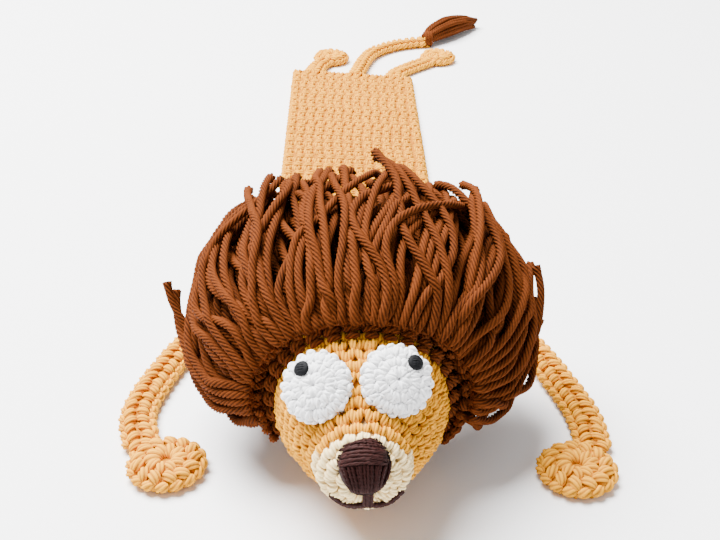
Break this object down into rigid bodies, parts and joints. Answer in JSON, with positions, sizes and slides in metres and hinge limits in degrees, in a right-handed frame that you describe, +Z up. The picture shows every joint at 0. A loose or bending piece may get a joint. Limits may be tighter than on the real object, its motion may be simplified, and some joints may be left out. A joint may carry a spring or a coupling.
{
  "type": "crocheted lion bookmark",
  "caption": "Crocheted lion bookmark: a flat strip with a stuffed, yarn-maned head at one end, front legs at its sides, and hind legs and a tufted tail at the other end.",
  "frame": {"origin": "on the centre line, on the underside of the narrow front end of the strip, under the back of the head", "axes": "+Z up off the page, +Y along the strip to the tail, the face towards -Y, +X to the right of someone who faces the face"},
  "size_m": [0.1156, 0.3508, 0.056],
  "materials": {
    "tan_cotton": "matte crochet cotton",
    "mane_cotton": "matte plied cotton",
    "cream_cotton": "matte crochet cotton",
    "white_cotton": "matte crochet cotton",
    "black_thread": "satin embroidery thread",
    "nose_thread": "satin embroidery thread",
    "stuffing": "loose fibre"
  },
  "bodies": {
    "strip": {"strip_front": "tan_cotton", "left_shoulder_stitches": "tan_cotton", "right_shoulder_stitches": "tan_cotton"},
    "back": {"strip_rear": "tan_cotton", "left_hip_stitches": "tan_cotton", "right_hip_stitches": "tan_cotton", "tail_stitches": "tan_cotton"},
    "head": {"neck_tab": "tan_cotton", "neck_seam": "tan_cotton", "head_shell": "tan_cotton", "muzzle": "cream_cotton", "head_stuffing": "stuffing", "left_eye": "white_cotton", "right_eye": "white_cotton", "left_pupil": "black_thread", "right_pupil": "black_thread", "nose": "nose_thread", "philtrum": "nose_thread", "mouth_line": "nose_thread", "mane_knots_front": "mane_cotton", "mane_knots_middle": "mane_cotton", "mane_knots_rear": "mane_cotton", "mane_top": "mane_cotton", "mane_upper_left": "mane_cotton", "mane_upper_right": "mane_cotton", "mane_left": "mane_cotton", "mane_right": "mane_cotton", "mane_lower_left": "mane_cotton", "mane_lower_right": "mane_cotton"},
    "left_arm": {"left_front_leg": "tan_cotton", "left_front_paw": "tan_cotton"},
    "right_arm": {"right_front_leg": "tan_cotton", "right_front_paw": "tan_cotton"},
    "left_hind": {"left_hind_leg": "tan_cotton", "left_hind_paw": "tan_cotton"},
    "right_hind": {"right_hind_leg": "tan_cotton", "right_hind_paw": "tan_cotton"},
    "tail": {"tail_cord": "tan_cotton", "tuft_wrap": "mane_cotton", "tail_tuft": "mane_cotton"}
  },
  "joints": [
    {"name": "neck_nod", "type": "hinge", "parent": "strip", "child": "head", "pos_m": [0, 0.0055, 0.0017], "axis": [1, 0, 0], "range_deg": [-22, 22]},
    {"name": "strip_fold", "type": "hinge", "parent": "strip", "child": "back", "pos_m": [0, 0.112, 0.0017], "axis": [1, 0, 0], "range_deg": [-100, 100]},
    {"name": "left_shoulder", "type": "hinge", "parent": "strip", "child": "left_arm", "pos_m": [-0.026, 0.047, 0.0017], "axis": [0, 1, 0], "range_deg": [-60, 15]},
    {"name": "right_shoulder", "type": "hinge", "parent": "strip", "child": "right_arm", "pos_m": [0.026, 0.047, 0.0017], "axis": [0, -1, 0], "range_deg": [-60, 15]},
    {"name": "left_hip", "type": "hinge", "parent": "back", "child": "left_hind", "pos_m": [-0.01519, 0.23222, 0.0017], "axis": [0.9789, -0.2045, 0], "range_deg": [-80, 80]},
    {"name": "right_hip", "type": "hinge", "parent": "back", "child": "right_hind", "pos_m": [0.01741, 0.22541, 0.0017], "axis": [0.9789, -0.2045, 0], "range_deg": [-80, 80]},
    {"name": "tail_lift", "type": "hinge", "parent": "back", "child": "tail", "pos_m": [0.00191, 0.22864, 0.0017], "axis": [0.9789, -0.2045, 0], "range_deg": [-80, 58]}
  ]
}
